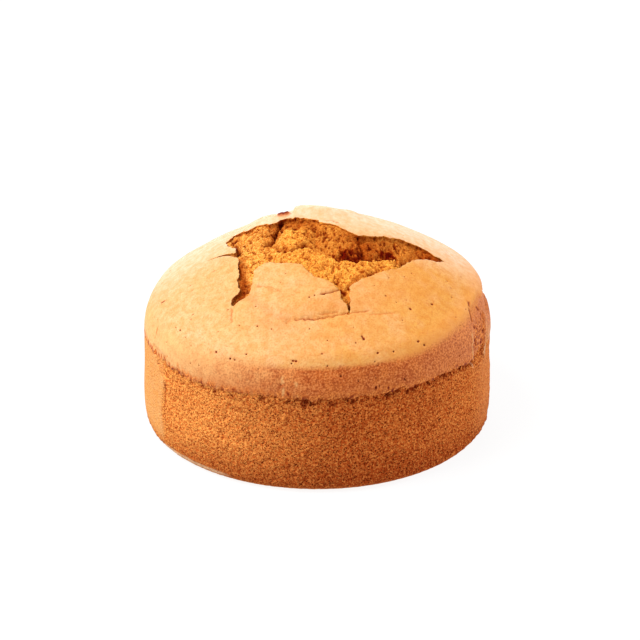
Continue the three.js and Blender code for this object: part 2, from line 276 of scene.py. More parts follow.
CLEFTS = [
    dict(path=SHELF_CLEFT, width=1.7, depth=2.4, shade=0.95),
    dict(path=[(-17.5, 13), (-19.8, 8.5), (-21.7, 4.5), (-20.9, -1.5), (-23.9, -5.6), (-25.6, -8)],
         width=1.3, depth=3.6, shade=0.95),
    dict(path=[(-0.6, -14), (-1.8, -7), (1, 3)], width=1.8, depth=1.1, shade=0.42),
    dict(path=[(20.5, -8), (22, -12.5), (23.5, -17)], width=1.6, depth=2.2, shade=0.85),
    dict(path=[(-43, 5.5), (-40.8, 1), (-40, -5)], width=1.2, depth=4, shade=0.95),
    dict(path=[(-39, -16), (-38, -28), (-37, -40)], width=3.6, depth=-1, shade=0.52),
    dict(path=[(-39.5, -22), (-37.5, -33), (-36.5, -38.5)], width=3.4, depth=0, shade=0.66),
    dict(path=[(-36.5, -38.5), (-38, -44), (-40.5, -50)], width=4.2, depth=0, shade=0.72),
    dict(path=[(-36.3, 11.6), (-34.2, 11), (-32, 10.6)], width=0.8, depth=1.2, shade=0.8),
    dict(path=[(-33.5, -8.9), (-31.1, -7.6)], width=0.7, depth=1.2, shade=0.8),
    dict(path=[(12, -49.8), (13.6, -50)], width=1.2, depth=0.8, shade=1),
    dict(path=[(9.8, -45.5), (11.8, -47.4)], width=1.8, depth=0.3, shade=0.45),
    dict(path=[(15.8, -46.8), (17.8, -44.1), (21.3, -39)], width=2, depth=0.3, shade=0.5),
    dict(path=[(21.9, -36.2), (23.4, -35.9)], width=1.2, depth=0.8, shade=0.8),
    dict(path=[(25.3, -38), (27.4, -36.1), (30.5, -33)], width=1.6, depth=0.5, shade=0.7),
    dict(path=[(14.6, -54), (14.6, -57.5)], width=2, depth=0.3, shade=0.4),
    dict(path=[(15.2, -59), (15.6, -63.2)], width=1.4, depth=1, shade=0.9),
]
LEAST_DEPTH = 0.9
CRUMB_RAGGED = [(1.3, 3, 27), (0.8, 1.3, 28)]
CRAGS = [(1.2, 6.5, 5), (1.3, 3.2, 6)]


def within(loop, plan):
    inside = np.zeros(len(plan), bool)
    x, y = plan.T
    for (ax, ay), (bx, by) in zip(loop, np.roll(loop, -1, axis=0)):
        if ay != by:
            crossing = ax + (y - ay) * (bx - ax) / (by - ay)
            inside ^= ((ay > y) != (by > y)) & (x < crossing)
    return inside


# Gives the crumb's height and its painted shade, which the shelf and mound lighten and the clefts deepen.
def torn_crumb(plan):
    spots = upright(plan)
    ragged = layered(spots, CRUMB_RAGGED)
    from_lip, from_foot = distance_to(rear_lip, plan), distance_to(SLOPE_FOOT, plan)
    share = from_lip / (from_lip + from_foot + LEAST_RUN)
    across = plan[:, 0] + SLOPE_SHIFT * ragged
    places = [s["x"] for s in SLOPES]
    top, foot, shade = (np.interp(across, places, [s[k] for s in SLOPES]) for k in ("top", "foot", "shade"))
    depth = top + (foot - top) * smooth(share, 0, SLOPE_END)
    crumbs = POOL_CRUMB_SHARE * smooth(uneven(spots, **POOL_CRUMB), *POOL_CRUMB_EDGE)
    for shade_pool in SHADE_POOLS:
        arch = POOL_ARCH * ((across - shade_pool["x"]) / shade_pool["half"]) ** POOL_ARCH_POWER
        shade = np.maximum(shade, smooth(share + POOL_RAGGED * ragged - arch, *shade_pool["top"]) - crumbs)
    for mass in MASSES:
        loop = np.array(mass["outline"], float)
        apart = distance_to(np.vstack([loop, loop[:1]]), plan)
        inset = np.where(within(loop, plan), apart, -apart) + ragged
        surface = mass["depth"] + ROUNDING * np.exp(-np.maximum(inset, 0) / ROUNDING_RUN)
        stands = smooth(inset, -mass["edge"], mass["edge"])
        depth += (np.minimum(surface, depth) - depth) * stands
        shade += (mass["shade"] - shade) * stands
    for cleft in CLEFTS:
        open_share = groove(cleft["path"], cleft["width"], plan)
        depth += cleft["depth"] * open_share
        shade = np.maximum(shade, cleft["shade"] * open_share)
    return crust_height(plan) - np.maximum(depth - layered(spots, CRAGS), LEAST_DEPTH), shade


def bubbles(points, size, seed, reach=0.5):
    moved = np.asarray(points) / size + SEED_APART * seed
    nearest = np.fromiter((noise.voronoi(p)[0][0] for p in moved), float, len(moved))
    return np.clip(1 - nearest / reach, 0, 1)


def rifts(points, size, seed, reach=0.12):
    return 1 - smooth(np.abs(uneven(points, size, seed)), 0, reach)


# Marks of the lining paper
# Pulled off, the paper took the skin below a ragged edge, left laps of skin and tore strips of crust.
# Places are in degrees round the cake, soft edges of laps and strips in radians, lengths in mm.
CRUST_EDGE_HEIGHT = 0.4675 * CAKE_HEIGHT
EDGE_WANDER = 1.6
EDGE_WANDER_TURN = 0.6
EDGE_RISE = 1.9
EDGE_RISE_FROM = (-125, -112)
EDGE_RISE_TO = (-42, -33)
EDGE_TEETH = [(1.2, 9, 13), (0.9, 3.4, 14), (1.1, 1.5, 15)]
BASE_EDGE_RADIUS = 5
WAVE = 0.6
WAVE_TURNS = 3
WAVE_CLIMB = 20
WAVE_FADE = (62, 73)
WAVE_NOISE = dict(size=1, seed=16)
PAPER_LAPS = [
    dict(foot=211, head=211, far=175, slant=(40, 70), edge=0.03, low=(2, 12), top=60,
         proud=0.6, skin=1, fold=0.6, on_crust=0),
    dict(foot=-19, head=-14.5, far=31, slant=(46, 62), edge=0.014, low=(40, 48), top=61,
         proud=0.5, skin=0.4, fold=1, on_crust=1),
    dict(foot=-32, head=-32, far=31, slant=(40, 70), edge=0.26, low=(2, 12), top=50,
         proud=0.6, skin=0.5, fold=0, on_crust=0),
]
LAP_WAVE = 0.012
LAP_WAVE_RUN = 5
LAP_TOP_FADE = 6
FOLD_WIDTH = 0.006
FOLD_DEPTH = 0.3
TORN_STRIPS = [
    dict(foot=-23.8, head=-15.5, half_width=7.6, low=43, high=76, depth=1, bare=1, dark=0.7, ridge=0.75),
    dict(foot=210, head=206, half_width=5.5, low=40, high=55, depth=0.6, bare=0.5, dark=0.3, ridge=0),
    dict(foot=5, head=5, half_width=26, low=61.5, high=72, depth=1.7, bare=0.2, dark=0, ridge=0),
]
STRIP_TAPER = 0.4
STRIP_START = (0, 0.12)
STRIP_END = (0.9, 1)
STRIP_EDGE = (0.75, 1)
STRIP_FRAYED = 0.022
STRIP_FRAY = dict(size=3, seed=30)
BARE_EDGE = (0.2, 0.7)
BARE_END = (0.55, 0.8)
BARE_FADED = 0.75
SIDE_CRACKS = [
    dict(path=[(-21, 76), (-24.7, 73.3), (-26.3, 69), (-26.2, 65)], width=0.7, dark=1),
    dict(path=[(-17.8, 71), (-16, 67), (-14.6, 62.4)], width=0.9, dark=1),
    dict(path=[(211, 16), (211.3, 30), (210.6, 44)], width=0.9, dark=0.7),
    dict(path=[(202.4, 63), (202.6, 58)], width=0.4, dark=0.9),
    dict(path=[(213, 55), (213.6, 51.5)], width=0.45, dark=0.9),
    dict(path=[(214.5, 50), (215.5, 47)], width=0.45, dark=0.8),
    dict(path=[(205, 47.5), (206.2, 44.5)], width=0.45, dark=0.8),
]
# Cracks are darkened with painted shade, broken up along their length.
CRACK_BREAK = dict(size=2.2, seed=42)
CRACK_BREAK_EDGE = (-0.35, 0.05)
CRACK_DEPTH = 0.7
CRACK_WIDTH = 0.007
CRACK_INSET = 0.85
RIDGE_OUTSET = 1.15
RIDGE_WIDTH = 0.009
RIDGE_RISE = 0.35
RIDGE_END = (0.6, 0.75)
SEAM_DEPTH = 0.8
SEAM_LAP_DROP = 8
SEAM_OPEN = [(-138, 0.15), (-131, 0.55), (-104, 0.45), (-96, 1)]
SEAM_BREAK = dict(size=1.5, seed=25)
SEAM_BREAK_EDGE = (0, 0.35)
SEAM_GAPE = dict(size=6, seed=24)
SEAM_GAPE_EDGE = (-0.35, 0.25)
SEAM_LEAST = 0.06
HOLE_LEAST = 0.4
SEAM_HOLES = [
    dict(angle=-129.5, width=3, depth=1.6), dict(angle=-124.5, width=2.4, depth=1.4),
    dict(angle=-107.7, width=2.2, depth=1.6), dict(angle=-96.4, width=1.6, depth=1.6),
    dict(angle=-94, width=2.4, depth=2), dict(angle=-91.4, width=2, depth=1.4),
    dict(angle=-86.3, width=3, depth=1.5), dict(angle=-79, width=3, depth=1.3),
    dict(angle=-67, width=2.2, depth=2.4), dict(angle=-58.4, width=8, depth=1.3),
    dict(angle=-46, width=10, depth=1.6), dict(angle=-33, width=8, depth=1.8),
]
SEAM_PITS = [
    dict(angle=-129.5, below=2.2, radius=1.6), dict(angle=-124.5, below=2.2, radius=1.4),
    dict(angle=-118, below=2, radius=1.1), dict(angle=-107.5, below=2.6, radius=1.4),
    dict(angle=-99, below=2.4, radius=1.1), dict(angle=-94, below=3.4, radius=2.1),
    dict(angle=-91, below=2.2, radius=1.3), dict(angle=-86, below=2.8, radius=1.5),
    dict(angle=-84.6, below=3.8, radius=1.2), dict(angle=-79, below=2.4, radius=1.5),
    dict(angle=-71, below=2.2, radius=1.1), dict(angle=-67, below=2.6, radius=1.7),
    dict(angle=-60.5, below=2.4, radius=1.3), dict(angle=-57.5, below=2, radius=1.6),
    dict(angle=-52, below=1.9, radius=1.4), dict(angle=-46, below=1.5, radius=1.2),
    dict(angle=-42, below=2, radius=1.5), dict(angle=-37, below=1.6, radius=1.3),
    dict(angle=-32.5, below=2.2, radius=1.6), dict(angle=-29.5, below=1.8, radius=1.8),
]
PIT_EDGE = (0.4, 1.1)
PIT_MOST = 1.4
PIT_RAGGED = [(0.5, 1.6, 43)]
NEAR_SEAM = (9, 2)
SEAM_CELLS = dict(size=3.4, seed=37, reach=0.45)
SIDE_CELLS = dict(size=1.9, seed=17)
SIDE_CELL_DEPTH = 0.75
SIDE_UNEVEN = [(0.45, 1.7, 18), (0.35, 4.5, 19)]


def angle_from(angle, middle):
    return (angle - radians(middle) + np.pi) % (2 * np.pi) - np.pi


def circle(angle, radius):
    return np.column_stack([np.cos(angle), np.sin(angle)]) * np.reshape(radius, (-1, 1))


def between(angle, start, end):
    turned = np.degrees(angle_from(angle, 0))
    return smooth(turned, *start) * (1 - smooth(turned, *end))


def edge_height(angle):
    rise = EDGE_RISE * between(angle, EDGE_RISE_FROM, EDGE_RISE_TO)
    teeth = layered(upright(circle(angle, CRUST_RADIUS)), EDGE_TEETH)
    return CRUST_EDGE_HEIGHT + EDGE_WANDER * np.sin(angle + EDGE_WANDER_TURN) + rise + teeth


def paper_laps(angle, height, on_crust=False):
    proud, skin, fold = np.zeros((3, len(angle)))
    for lap in PAPER_LAPS:
        near = lap["foot"] + (lap["head"] - lap["foot"]) * smooth(height, *lap["slant"])
        half = np.radians(np.abs(lap["far"] - near) / 2) + LAP_WAVE * np.sin(height / LAP_WAVE_RUN)
        aside = np.abs(angle_from(angle - np.radians(near + lap["far"]) / 2, 0))
        along = smooth(height, *lap["low"]) * (1 - smooth(height, lap["top"] - LAP_TOP_FADE, lap["top"]))
        along = along * (lap["on_crust"] if on_crust else 1)
        kept = along * (1 - smooth(aside, half - lap["edge"], half))
        proud += lap["proud"] * kept
        skin += lap["skin"] * kept
        fold += lap["fold"] * along * bell((aside - half) / FOLD_WIDTH)
    return proud, skin, fold


def torn_strips(angle, height):
    torn, bare, ridge, crack = np.zeros((4, len(angle)))
    around = upright(circle(angle, CRUST_RADIUS), height)
    frayed = STRIP_FRAYED * uneven(around, **STRIP_FRAY)
    broken = smooth(uneven(around, **CRACK_BREAK), *CRACK_BREAK_EDGE)
    for strip in TORN_STRIPS:
        climb = np.clip((height - strip["low"]) / (strip["high"] - strip["low"]), 0, 1)
        middle = strip["foot"] + (strip["head"] - strip["foot"]) * climb**2
        aside = np.abs(angle_from(angle - np.radians(middle), 0) + frayed)
        width = radians(strip["half_width"]) * (STRIP_TAPER + (1 - STRIP_TAPER) * climb**0.5)
        along = smooth(climb, *STRIP_START) * (1 - smooth(climb, *STRIP_END))
        opened = along * (1 - smooth(aside / width, *STRIP_EDGE))
        torn = np.maximum(torn, strip["depth"] * opened)
        skinned = BARE_FADED * smooth(climb, *BARE_END)
        bare = np.maximum(bare, strip["bare"] * smooth(opened, *BARE_EDGE) * (1 - skinned))
        outline = along * bell((aside - CRACK_INSET * width) / CRACK_WIDTH)
        crack = np.maximum(crack, strip["dark"] * broken * outline)
        rolled = along * bell((aside - RIDGE_OUTSET * width) / RIDGE_WIDTH)
        ridge += strip["ridge"] * (1 - smooth(climb, *RIDGE_END)) * rolled
    for line in SIDE_CRACKS:
        middle = line["path"][0][0]
        unrolled = np.column_stack([CRUST_RADIUS * angle_from(angle, middle), height])
        path = [(CRUST_RADIUS * radians(turned - middle), level) for turned, level in line["path"]]
        cracked = groove(path, line["width"], unrolled, CREASE_WANDER)
        crack = np.maximum(crack, line["dark"] * broken * cracked)
    return torn, bare, ridge, crack


def side_relief(angle, height, on_crust=False):
    climb = np.column_stack([height / WAVE_CLIMB, np.zeros((len(angle), 2))])
    waves = WAVE * uneven(upright(circle(angle, WAVE_TURNS)) + climb, **WAVE_NOISE)
    waves *= 1 - smooth(height, *WAVE_FADE)
    proud, skin, fold = paper_laps(angle, height, on_crust)
    torn, bare, ridge, crack = torn_strips(angle, height)
    aside = waves + proud - FOLD_DEPTH * fold - torn + RIDGE_RISE * ridge - CRACK_DEPTH * crack
    on_side = smooth(height, 0, BASE_EDGE_RADIUS)
    return on_side * aside, dict(skin=skin, fold=fold, torn=bare, ridge=ridge, crack=crack)


# Crumb relief at the side, and how far each point lies in a cell or seam pit, which sets painted shade.
def side_crumb(place):
    near_seam = smooth(CRUST_EDGE_HEIGHT - place[:, 2], *NEAR_SEAM)
    pit = np.maximum(bubbles(place, **SIDE_CELLS), near_seam * bubbles(place, **SEAM_CELLS))
    angle = np.arctan2(place[:, 1], place[:, 0])
    below = edge_height(angle) - place[:, 2]
    ragged = layered(place, PIT_RAGGED)
    for hole in SEAM_PITS:
        aside = CRUST_RADIUS * angle_from(angle, hole["angle"])
        apart = np.hypot(aside, below - hole["below"]) / hole["radius"] + ragged
        pit = np.maximum(pit, PIT_MOST * (1 - smooth(apart, *PIT_EDGE)))
    return layered(place, SIDE_UNEVEN) - SIDE_CELL_DEPTH * pit, np.minimum(pit, 1)


def skin_at_seam(angle, edge):
    return np.clip(paper_laps(angle, edge - SEAM_LAP_DROP)[1], 0, 1)


def seam_depth(angle, edge):
    around = upright(circle(angle, CRUST_RADIUS))
    broken = smooth(uneven(around, **SEAM_BREAK), *SEAM_BREAK_EDGE)
    gape = smooth(uneven(around, **SEAM_GAPE), *SEAM_GAPE_EDGE)
    depth = SEAM_DEPTH * gape * (SEAM_LEAST + (1 - SEAM_LEAST) * broken)
    for hole in SEAM_HOLES:
        apart = angle_from(angle, hole["angle"]) * CRUST_RADIUS / hole["width"]
        depth += hole["depth"] * bell(apart) * (HOLE_LEAST + (1 - HOLE_LEAST) * broken)
    depth *= np.interp(np.degrees(angle_from(angle, 0)), *zip(*SEAM_OPEN))
    return depth * (1 - skin_at_seam(angle, edge))


# The skin of the cake as one mesh
# Every stretch of the surface adds its points and faces here, to make one closed solid. A point is
# marked with how far it lies in a pit, crease, crack or seam, which sets painted shade there, how bare
# of skin or pale it is, pale being partly a painted highlight, and, under the name depth, the painted
# shade it gets in the burst.
CRUST, SIDE_CRUMB, BURST_CRUMB = range(3)
ROW_SHARE = 0.866
SCATTER = 0.22
SAMPLE_STEP = 0.3
SAME_POINT = 1e-7
points, faces, finishes = [], [], []
marks = {"pit": [], "bare": [], "pale": [], "depth": []}


def put(block, **marked):
    first = sum(len(b) for b in points)
    points.append(np.asarray(block, float))
    for name, blocks in marks.items():
        blocks.append(np.broadcast_to(marked.get(name, 0.0), len(block)))
    return np.arange(first, first + len(block))


def cover(corners, finish):
    faces.extend(corners.tolist())
    finishes.extend([finish] * len(corners))


def stitch(below, above, finish):
    cover(np.column_stack([below, np.roll(below, -1), np.roll(above, -1), above]), finish)


def triangles(loops, inner):
    plan = np.vstack([*loops, inner])
    edges, first = [], 0
    for loop in loops:
        ring = list(range(first, first + len(loop)))
        edges += zip(ring, ring[1:] + ring[:1])
        first += len(loop)
    made = geometry.delaunay_2d_cdt([Vector(p) for p in plan], edges, [], 0, SAME_POINT)
    corners = np.array(made[2])
    a, b, c = (plan[corners[:, k]] for k in range(3))
    turned = np.cross(b - a, c - a) < 0
    corners[turned] = corners[turned][:, ::-1]
    return corners, (a + b + c) / 3


def scattered(lowest, highest, step, seed):
    draw = np.random.default_rng(seed)
    rows = np.arange(lowest[1], highest[1], step * ROW_SHARE)
    columns = np.arange(lowest[0], highest[0], step)
    grid = np.array([(x + k % 2 * step / 2, y) for k, y in enumerate(rows) for x in columns])
    return grid + draw.uniform(-SCATTER, SCATTER, grid.shape) * step


def gap_to(paths, plan):
    samples = []
    for path in paths:
        for start, end in zip(path[:-1], path[1:]):
            steps = 1 + int(np.hypot(*(end - start)) / SAMPLE_STEP)
            samples.extend(start + (end - start) * k / steps for k in range(steps))
        samples.append(path[-1])
    tree = kdtree.KDTree(len(samples))
    for index, (x, y) in enumerate(samples):
        tree.insert((x, y, 0), index)
    tree.balance()
    return np.fromiter((tree.find((x, y, 0))[2] for x, y in plan), float, len(plan))


# Top crust
# The dried skin from its torn lower edge, over the shoulder and the dome, to the lip of the burst.
# Its mesh is laid out flat, with the shoulder unrolled, and pinholes show where bubbles broke, darkened
# with painted shade.
DOME_EDGE_RADIUS = 0.911 * CRUST_RADIUS
SHOULDER_DRAFT = 0.8
EDGE_RUN = 23.5
UPRIGHT_FROM = (0, 0.5)
TURN_STEPS = 720
CRUST_STEP, CRUST_SEED = 1.4, 21
LIP_STEP, LIP_SEED = 0.55, 22
LIP_REACH = 1.7
LIP_CLEAR = 0.4
THIN_STEP, THIN_SEED = 0.32, 24
THIN_REACH = 0.9
STRIP_STEP, STRIP_SEED = 0.52, 25
STRIP_AREAS = [dict(middle=-23, half=10, reach=(80, 110)), dict(middle=209, half=9, reach=(90, 110))]
LARGE_PORES = [
    (21.8, -73.6), (22.6, -74.6), (2.4, -83.3), (38.5, -79.6), (30.2, -81.7), (-78.2, -19.6),
    (-79.3, -19.3), (-69.4, -49.9), (-51.4, -72.9), (-44.6, -79.3), (-35.2, -78.9), (-10.5, -87.3),
    (-12, -87), (50.7, -70.2), (55, -71.3), (33, -97.5), (12.6, -96), (48.9, -89.8), (46, -53), (57, -45),
]
LARGE_PORE_RADIUS = (0.5, 0.8)
SMALL_PORES = 150
SMALL_PORE_RADIUS = (0.26, 0.46)
PORE_SEED = 11
PORE_AREA = (0.15, 0.95)
PORE_DEPTH = 0.8
PORE_EDGE = (0.5, 1.4)
PORE_CLEAR = 2
PORE_SPOKES = 7
PORE_RIMS = (0.6, 1.4)
FLECKS = [[(-18.3, -95.5), (-18.9, -102)], [(-11.3, -98.5), (-11.8, -104)], [(-15, -101), (-15.2, -104)]]
FLECK_WIDTH = 1
FLECK_BREAK = dict(size=1.6, seed=32)
FLECK_BREAK_EDGE = (-0.25, 0.2)
TORN_SPOT = dict(path=[(-19.6, 16.4), (-18, 16), (-16, 15.2)], width=1.4, wander=1.4)
TORN_SPOT_LIFT = 1.6
FRAY_REACH = 0.1
FRAY_NOISE = dict(size=2.2, seed=36)
TORN_PITS = 1.5
SPOT_DARK = 0.9
CRACK_DARK = 0.75
SKIN_PALE = 1.2
FLUSH_WIDTH = 0.7

sheet_radius = DOME_EDGE_RADIUS + EDGE_RUN
corner_radius = CRUST_RADIUS - SHOULDER_DRAFT
dome_edge_share = DOME_EDGE_RADIUS / SHOULDER_RADIUS
dome_edge_height = SHOULDER_HEIGHT + DOME_RISE * (1 - dome_edge_share**DOME_POWER)
dome_edge_slope = DOME_RISE * DOME_POWER * dome_edge_share ** (DOME_POWER - 1) / SHOULDER_RADIUS
corner_height = dome_edge_height - dome_edge_slope * (corner_radius - DOME_EDGE_RADIUS)


# The crust's pit mark sets painted shade in pores, torn pits, creases and cracks, and darkens the torn spot.
def crust_sheet(plan, pore):
    reach, angle = np.hypot(*plan.T), np.arctan2(plan[:, 1], plan[:, 0])
    over = np.clip((reach - DOME_EDGE_RADIUS) / EDGE_RUN, 0, 1)
    edge_pull, corner_pull, dome_pull = over**2, 2 * over * (1 - over), (1 - over) ** 2
    on_dome = circle(angle, np.minimum(reach, DOME_EDGE_RADIUS))
    spot = groove(plan=on_dome, **TORN_SPOT)
    rise = crust_height(on_dome) - dome_edge_height - LEAN * on_dome[:, 0] + TORN_SPOT_LIFT * spot
    radius = edge_pull * CRUST_RADIUS + corner_pull * corner_radius
    radius += dome_pull * np.minimum(reach, DOME_EDGE_RADIUS)
    height = edge_pull * edge_height(angle) + corner_pull * corner_height + dome_pull * dome_edge_height
    height += LEAN * radius * np.cos(angle) * smooth(height, CRUST_EDGE_HEIGHT, SHOULDER_HEIGHT)
    height += dome_pull * rise
    aside, paper = side_relief(angle, height, on_crust=True)
    place = upright(circle(angle, radius), height)
    relief, pit = side_crumb(place)
    upright_share = smooth(over, *UPRIGHT_FROM)
    dent = PORE_DEPTH * pore
    place[:, :2] += circle(angle, aside + paper["torn"] * relief - dent * upright_share)
    place[:, 2] -= dent * (1 - upright_share)
    fleck = np.max([groove(path, FLECK_WIDTH, plan) for path in FLECKS], axis=0)
    fleck *= smooth(uneven(upright(plan), **FLECK_BREAK), *FLECK_BREAK_EDGE)
    frayed = smooth(over + FRAY_REACH * uneven(place, **FRAY_NOISE), 1 - FRAY_REACH, 1)
    torn = np.max([paper["torn"], spot, frayed], axis=0)
    pitted = np.max([pore, TORN_PITS * torn * pit, SPOT_DARK * spot, CRACK_DARK * paper["crack"]], axis=0)
    pale = np.max([paper["ridge"], fleck, SKIN_PALE * paper["skin"]], axis=0)
    return place, dict(pit=pitted, bare=torn, pale=pale)


turn = np.linspace(0, 2 * np.pi, TURN_STEPS, endpoint=False)
sheet_edge = circle(turn, sheet_radius)
closed_lip = np.vstack([lip, lip[:1]])
draw = np.random.default_rng(PORE_SEED)
pore_turn = draw.uniform(0, 2 * np.pi, SMALL_PORES)
pore_reach = sheet_radius * np.sqrt(draw.uniform(*PORE_AREA, SMALL_PORES))
pores = np.vstack([LARGE_PORES, circle(pore_turn, pore_reach)])
large_radius = draw.uniform(*LARGE_PORE_RADIUS, len(LARGE_PORES))
pore_radius = np.concatenate([large_radius, draw.uniform(*SMALL_PORE_RADIUS, SMALL_PORES)])
clear = ~within(lip, pores) & (gap_to([closed_lip], pores) > LIP_REACH)
pores, pore_radius = pores[clear], pore_radius[clear]


def pore_mark(plan):
    mark = np.zeros(len(plan))
    for middle, radius in zip(pores, pore_radius):
        mark = np.maximum(mark, 1 - smooth(np.hypot(*(plan - middle).T) / radius, *PORE_EDGE))
    return mark


def in_strips(plan):
    reach, angle = np.hypot(*plan.T), np.arctan2(plan[:, 1], plan[:, 0])
    found = np.zeros(len(plan), bool)
    for area in STRIP_AREAS:
        beside = np.abs(angle_from(angle, area["middle"])) < radians(area["half"])
        found |= beside & (reach > area["reach"][0]) & (reach < area["reach"][1])
    return found


thin = [np.array(c["path"], float) for c in CREASES if c["width"] < THIN_CREASE]
wide = [np.array(c["path"], float) for c in CREASES if c["width"] >= THIN_CREASE]
steps = [np.array(path, float) for path in (PLATE_STEP, TORN_SPOT["path"])]
sharp = [closed_lip, *steps, *wide, *thin]
reach = np.array([sheet_radius, sheet_radius])
coarse = scattered(-reach, reach, CRUST_STEP, CRUST_SEED)
from_pores = np.hypot(*(coarse[:, None] - pores[None]).transpose(2, 0, 1)) - PORE_CLEAR * pore_radius
coarse = coarse[(gap_to(sharp, coarse) > LIP_REACH) & (from_pores.min(1) > 0) & ~in_strips(coarse)]
torn_area = scattered(-reach, reach, STRIP_STEP, STRIP_SEED)
torn_area = torn_area[in_strips(torn_area)]
fine = scattered(-reach, reach, LIP_STEP, LIP_SEED)
fine = fine[(gap_to(sharp, fine) <= LIP_REACH) & (gap_to(thin, fine) > THIN_REACH)]
lines = np.vstack(thin)
hair = scattered(lines.min(0) - THIN_REACH, lines.max(0) + THIN_REACH, THIN_STEP, THIN_SEED)
hair = hair[gap_to(thin, hair) <= THIN_REACH]
fine = np.vstack([fine, hair])
fine = fine[gap_to([closed_lip], fine) > LIP_CLEAR * LIP_STEP]
spokes = circle(np.arange(PORE_SPOKES) * 2 * np.pi / PORE_SPOKES, 1)
pore_rims = [pores + pore_radius[:, None] * share * spoke for share in PORE_RIMS for spoke in spokes]
inner = np.vstack([coarse, fine, torn_area, pores, *pore_rims])
inner = inner[(np.hypot(*inner.T) < sheet_radius - LIP_STEP) & ~within(lip, inner)]

corners, middles = triangles([sheet_edge, lip], inner)
corners = corners[~within(lip, middles)]
plan = np.vstack([sheet_edge, lip, inner])
place, marked = crust_sheet(plan, pore_mark(plan))
# Creases and their flushes redden the crust, partly browning and partly painted shade.
flushed = [c["flush"] * groove(c["path"], FLUSH_WIDTH * c["width"], plan, CREASE_WANDER) for c in CREASES]
flushed += [f["flush"] * groove(f["path"], f["width"], plan) for f in FLUSHES]
marked["pit"] = np.maximum(marked["pit"], np.max(flushed, axis=0))
sheet = put(place, **marked)
cover(sheet[corners], CRUST)
crust_edge = sheet[:TURN_STEPS]
lip_ids = sheet[TURN_STEPS:TURN_STEPS + len(lip)]
lip_height = place[TURN_STEPS:TURN_STEPS + len(lip), 2]


# Torn walls and floor of the burst
# Under the lip the crumb falls away in a rough undercut wall, then spreads over the torn masses.
# It is the same open sponge as the rest, pulled apart, so it has lumps, rifts and burst cells. Their
# darkness is painted shade.
WALL_ROWS = 12
CRUST_ROWS = 2
CRUST_THICKNESS = 0.8
LEAST_FALL = 1.2 * CRUST_THICKNESS
LOOSE_FALL = 4
UNDERCUT = 0.12
UNDERCUT_MOST = 1.1
UNDERCUT_POWER = 0.7
WALL_STRETCH = (1, 1, 0.45)
WALL_UNEVEN = [(1.1, 2.6, 7), (0.8, 1.3, 8)]
WALL_RIFTS = dict(size=3.2, seed=33)
WALL_RIFT_DEPTH = 0.6
WALL_CELLS = dict(size=2.1, seed=9)
# Painted shade in the wall's cells and hollows.
WALL_CELL_DARK = 0.8
WALL_HOLLOW = 1.4
WALL_HOLLOW_DARK = 0.9
# Painted shade on the torn walls under the lip, growing further down.
WALL_SHADE = 0.45
WALL_TOP_SHADE = 0.7
CELL_DEPTH = 0.7
FLOOR_STEP, FLOOR_SEED = 0.56, 23
FLOOR_CLEAR = 0.45 * FLOOR_STEP
FLOOR_HELD = 1.5
FLOOR_UNEVEN = [(0.9, 3.1, 10), (0.65, 1.5, 11), (0.4, 0.8, 29)]
FLOOR_CELLS = dict(size=2.2, seed=38, reach=0.42)
FLOOR_HOLLOW = 0.9
FLOOR_HOLLOW_DARK = 0.7
WIDE_RIFTS = dict(size=4.5, seed=34)
NARROW_RIFTS = dict(size=2.2, seed=12)
NARROW_RIFT_SHARE = 0.7
RIFT_GAPE = dict(size=7, seed=35)
RIFT_GAPE_EDGE = (-0.3, 0.2)
RIFT_DEPTH = 0.9
RIFT_DARK = 0.8
STRAND_RIGHT = (-27, -22)
STRAND_FRONT = (-14, -9)
STRAND_CALM = 0.6

ahead = np.roll(lip, -2, axis=0) - np.roll(lip, 2, axis=0)
inward = np.column_stack([ahead[:, 1], -ahead[:, 0]]) / np.hypot(*ahead.T)[:, None]
floor_height, lip_shade = torn_crumb(lip)
fall = np.maximum(lip_height - floor_height, LEAST_FALL)
rows = [lip_ids]
for row in range(1, WALL_ROWS + 1):
    share = row / WALL_ROWS
    below_crust = max(0, (row - CRUST_ROWS) / (WALL_ROWS - CRUST_ROWS))
    drop = CRUST_THICKNESS * min(1, row / CRUST_ROWS) + (fall - CRUST_THICKNESS) * below_crust
    midway = np.sin(np.pi * share)
    under = np.minimum(UNDERCUT * fall, UNDERCUT_MOST) * midway**UNDERCUT_POWER
    place = upright(lip, lip_height - drop)
    stretched = place * WALL_STRETCH
    lumps = layered(stretched, WALL_UNEVEN) - WALL_RIFT_DEPTH * rifts(stretched, **WALL_RIFTS)
    pit = bubbles(place, **WALL_CELLS)
    loose = midway * np.minimum(1, fall / LOOSE_FALL)
    place[:, :2] += inward * (loose * (lumps - CELL_DEPTH * pit) - under)[:, None]
    hollow = np.clip(-WALL_HOLLOW * lumps, 0, WALL_HOLLOW_DARK)
    shade = np.maximum(WALL_SHADE, lip_shade) * min(1, WALL_TOP_SHADE + share)
    rows.append(put(place, pit=np.maximum(WALL_CELL_DARK * pit, hollow) * loose, depth=shade))
for above, below in zip(rows, rows[1:]):
    stitch(below, above, BURST_CRUMB)

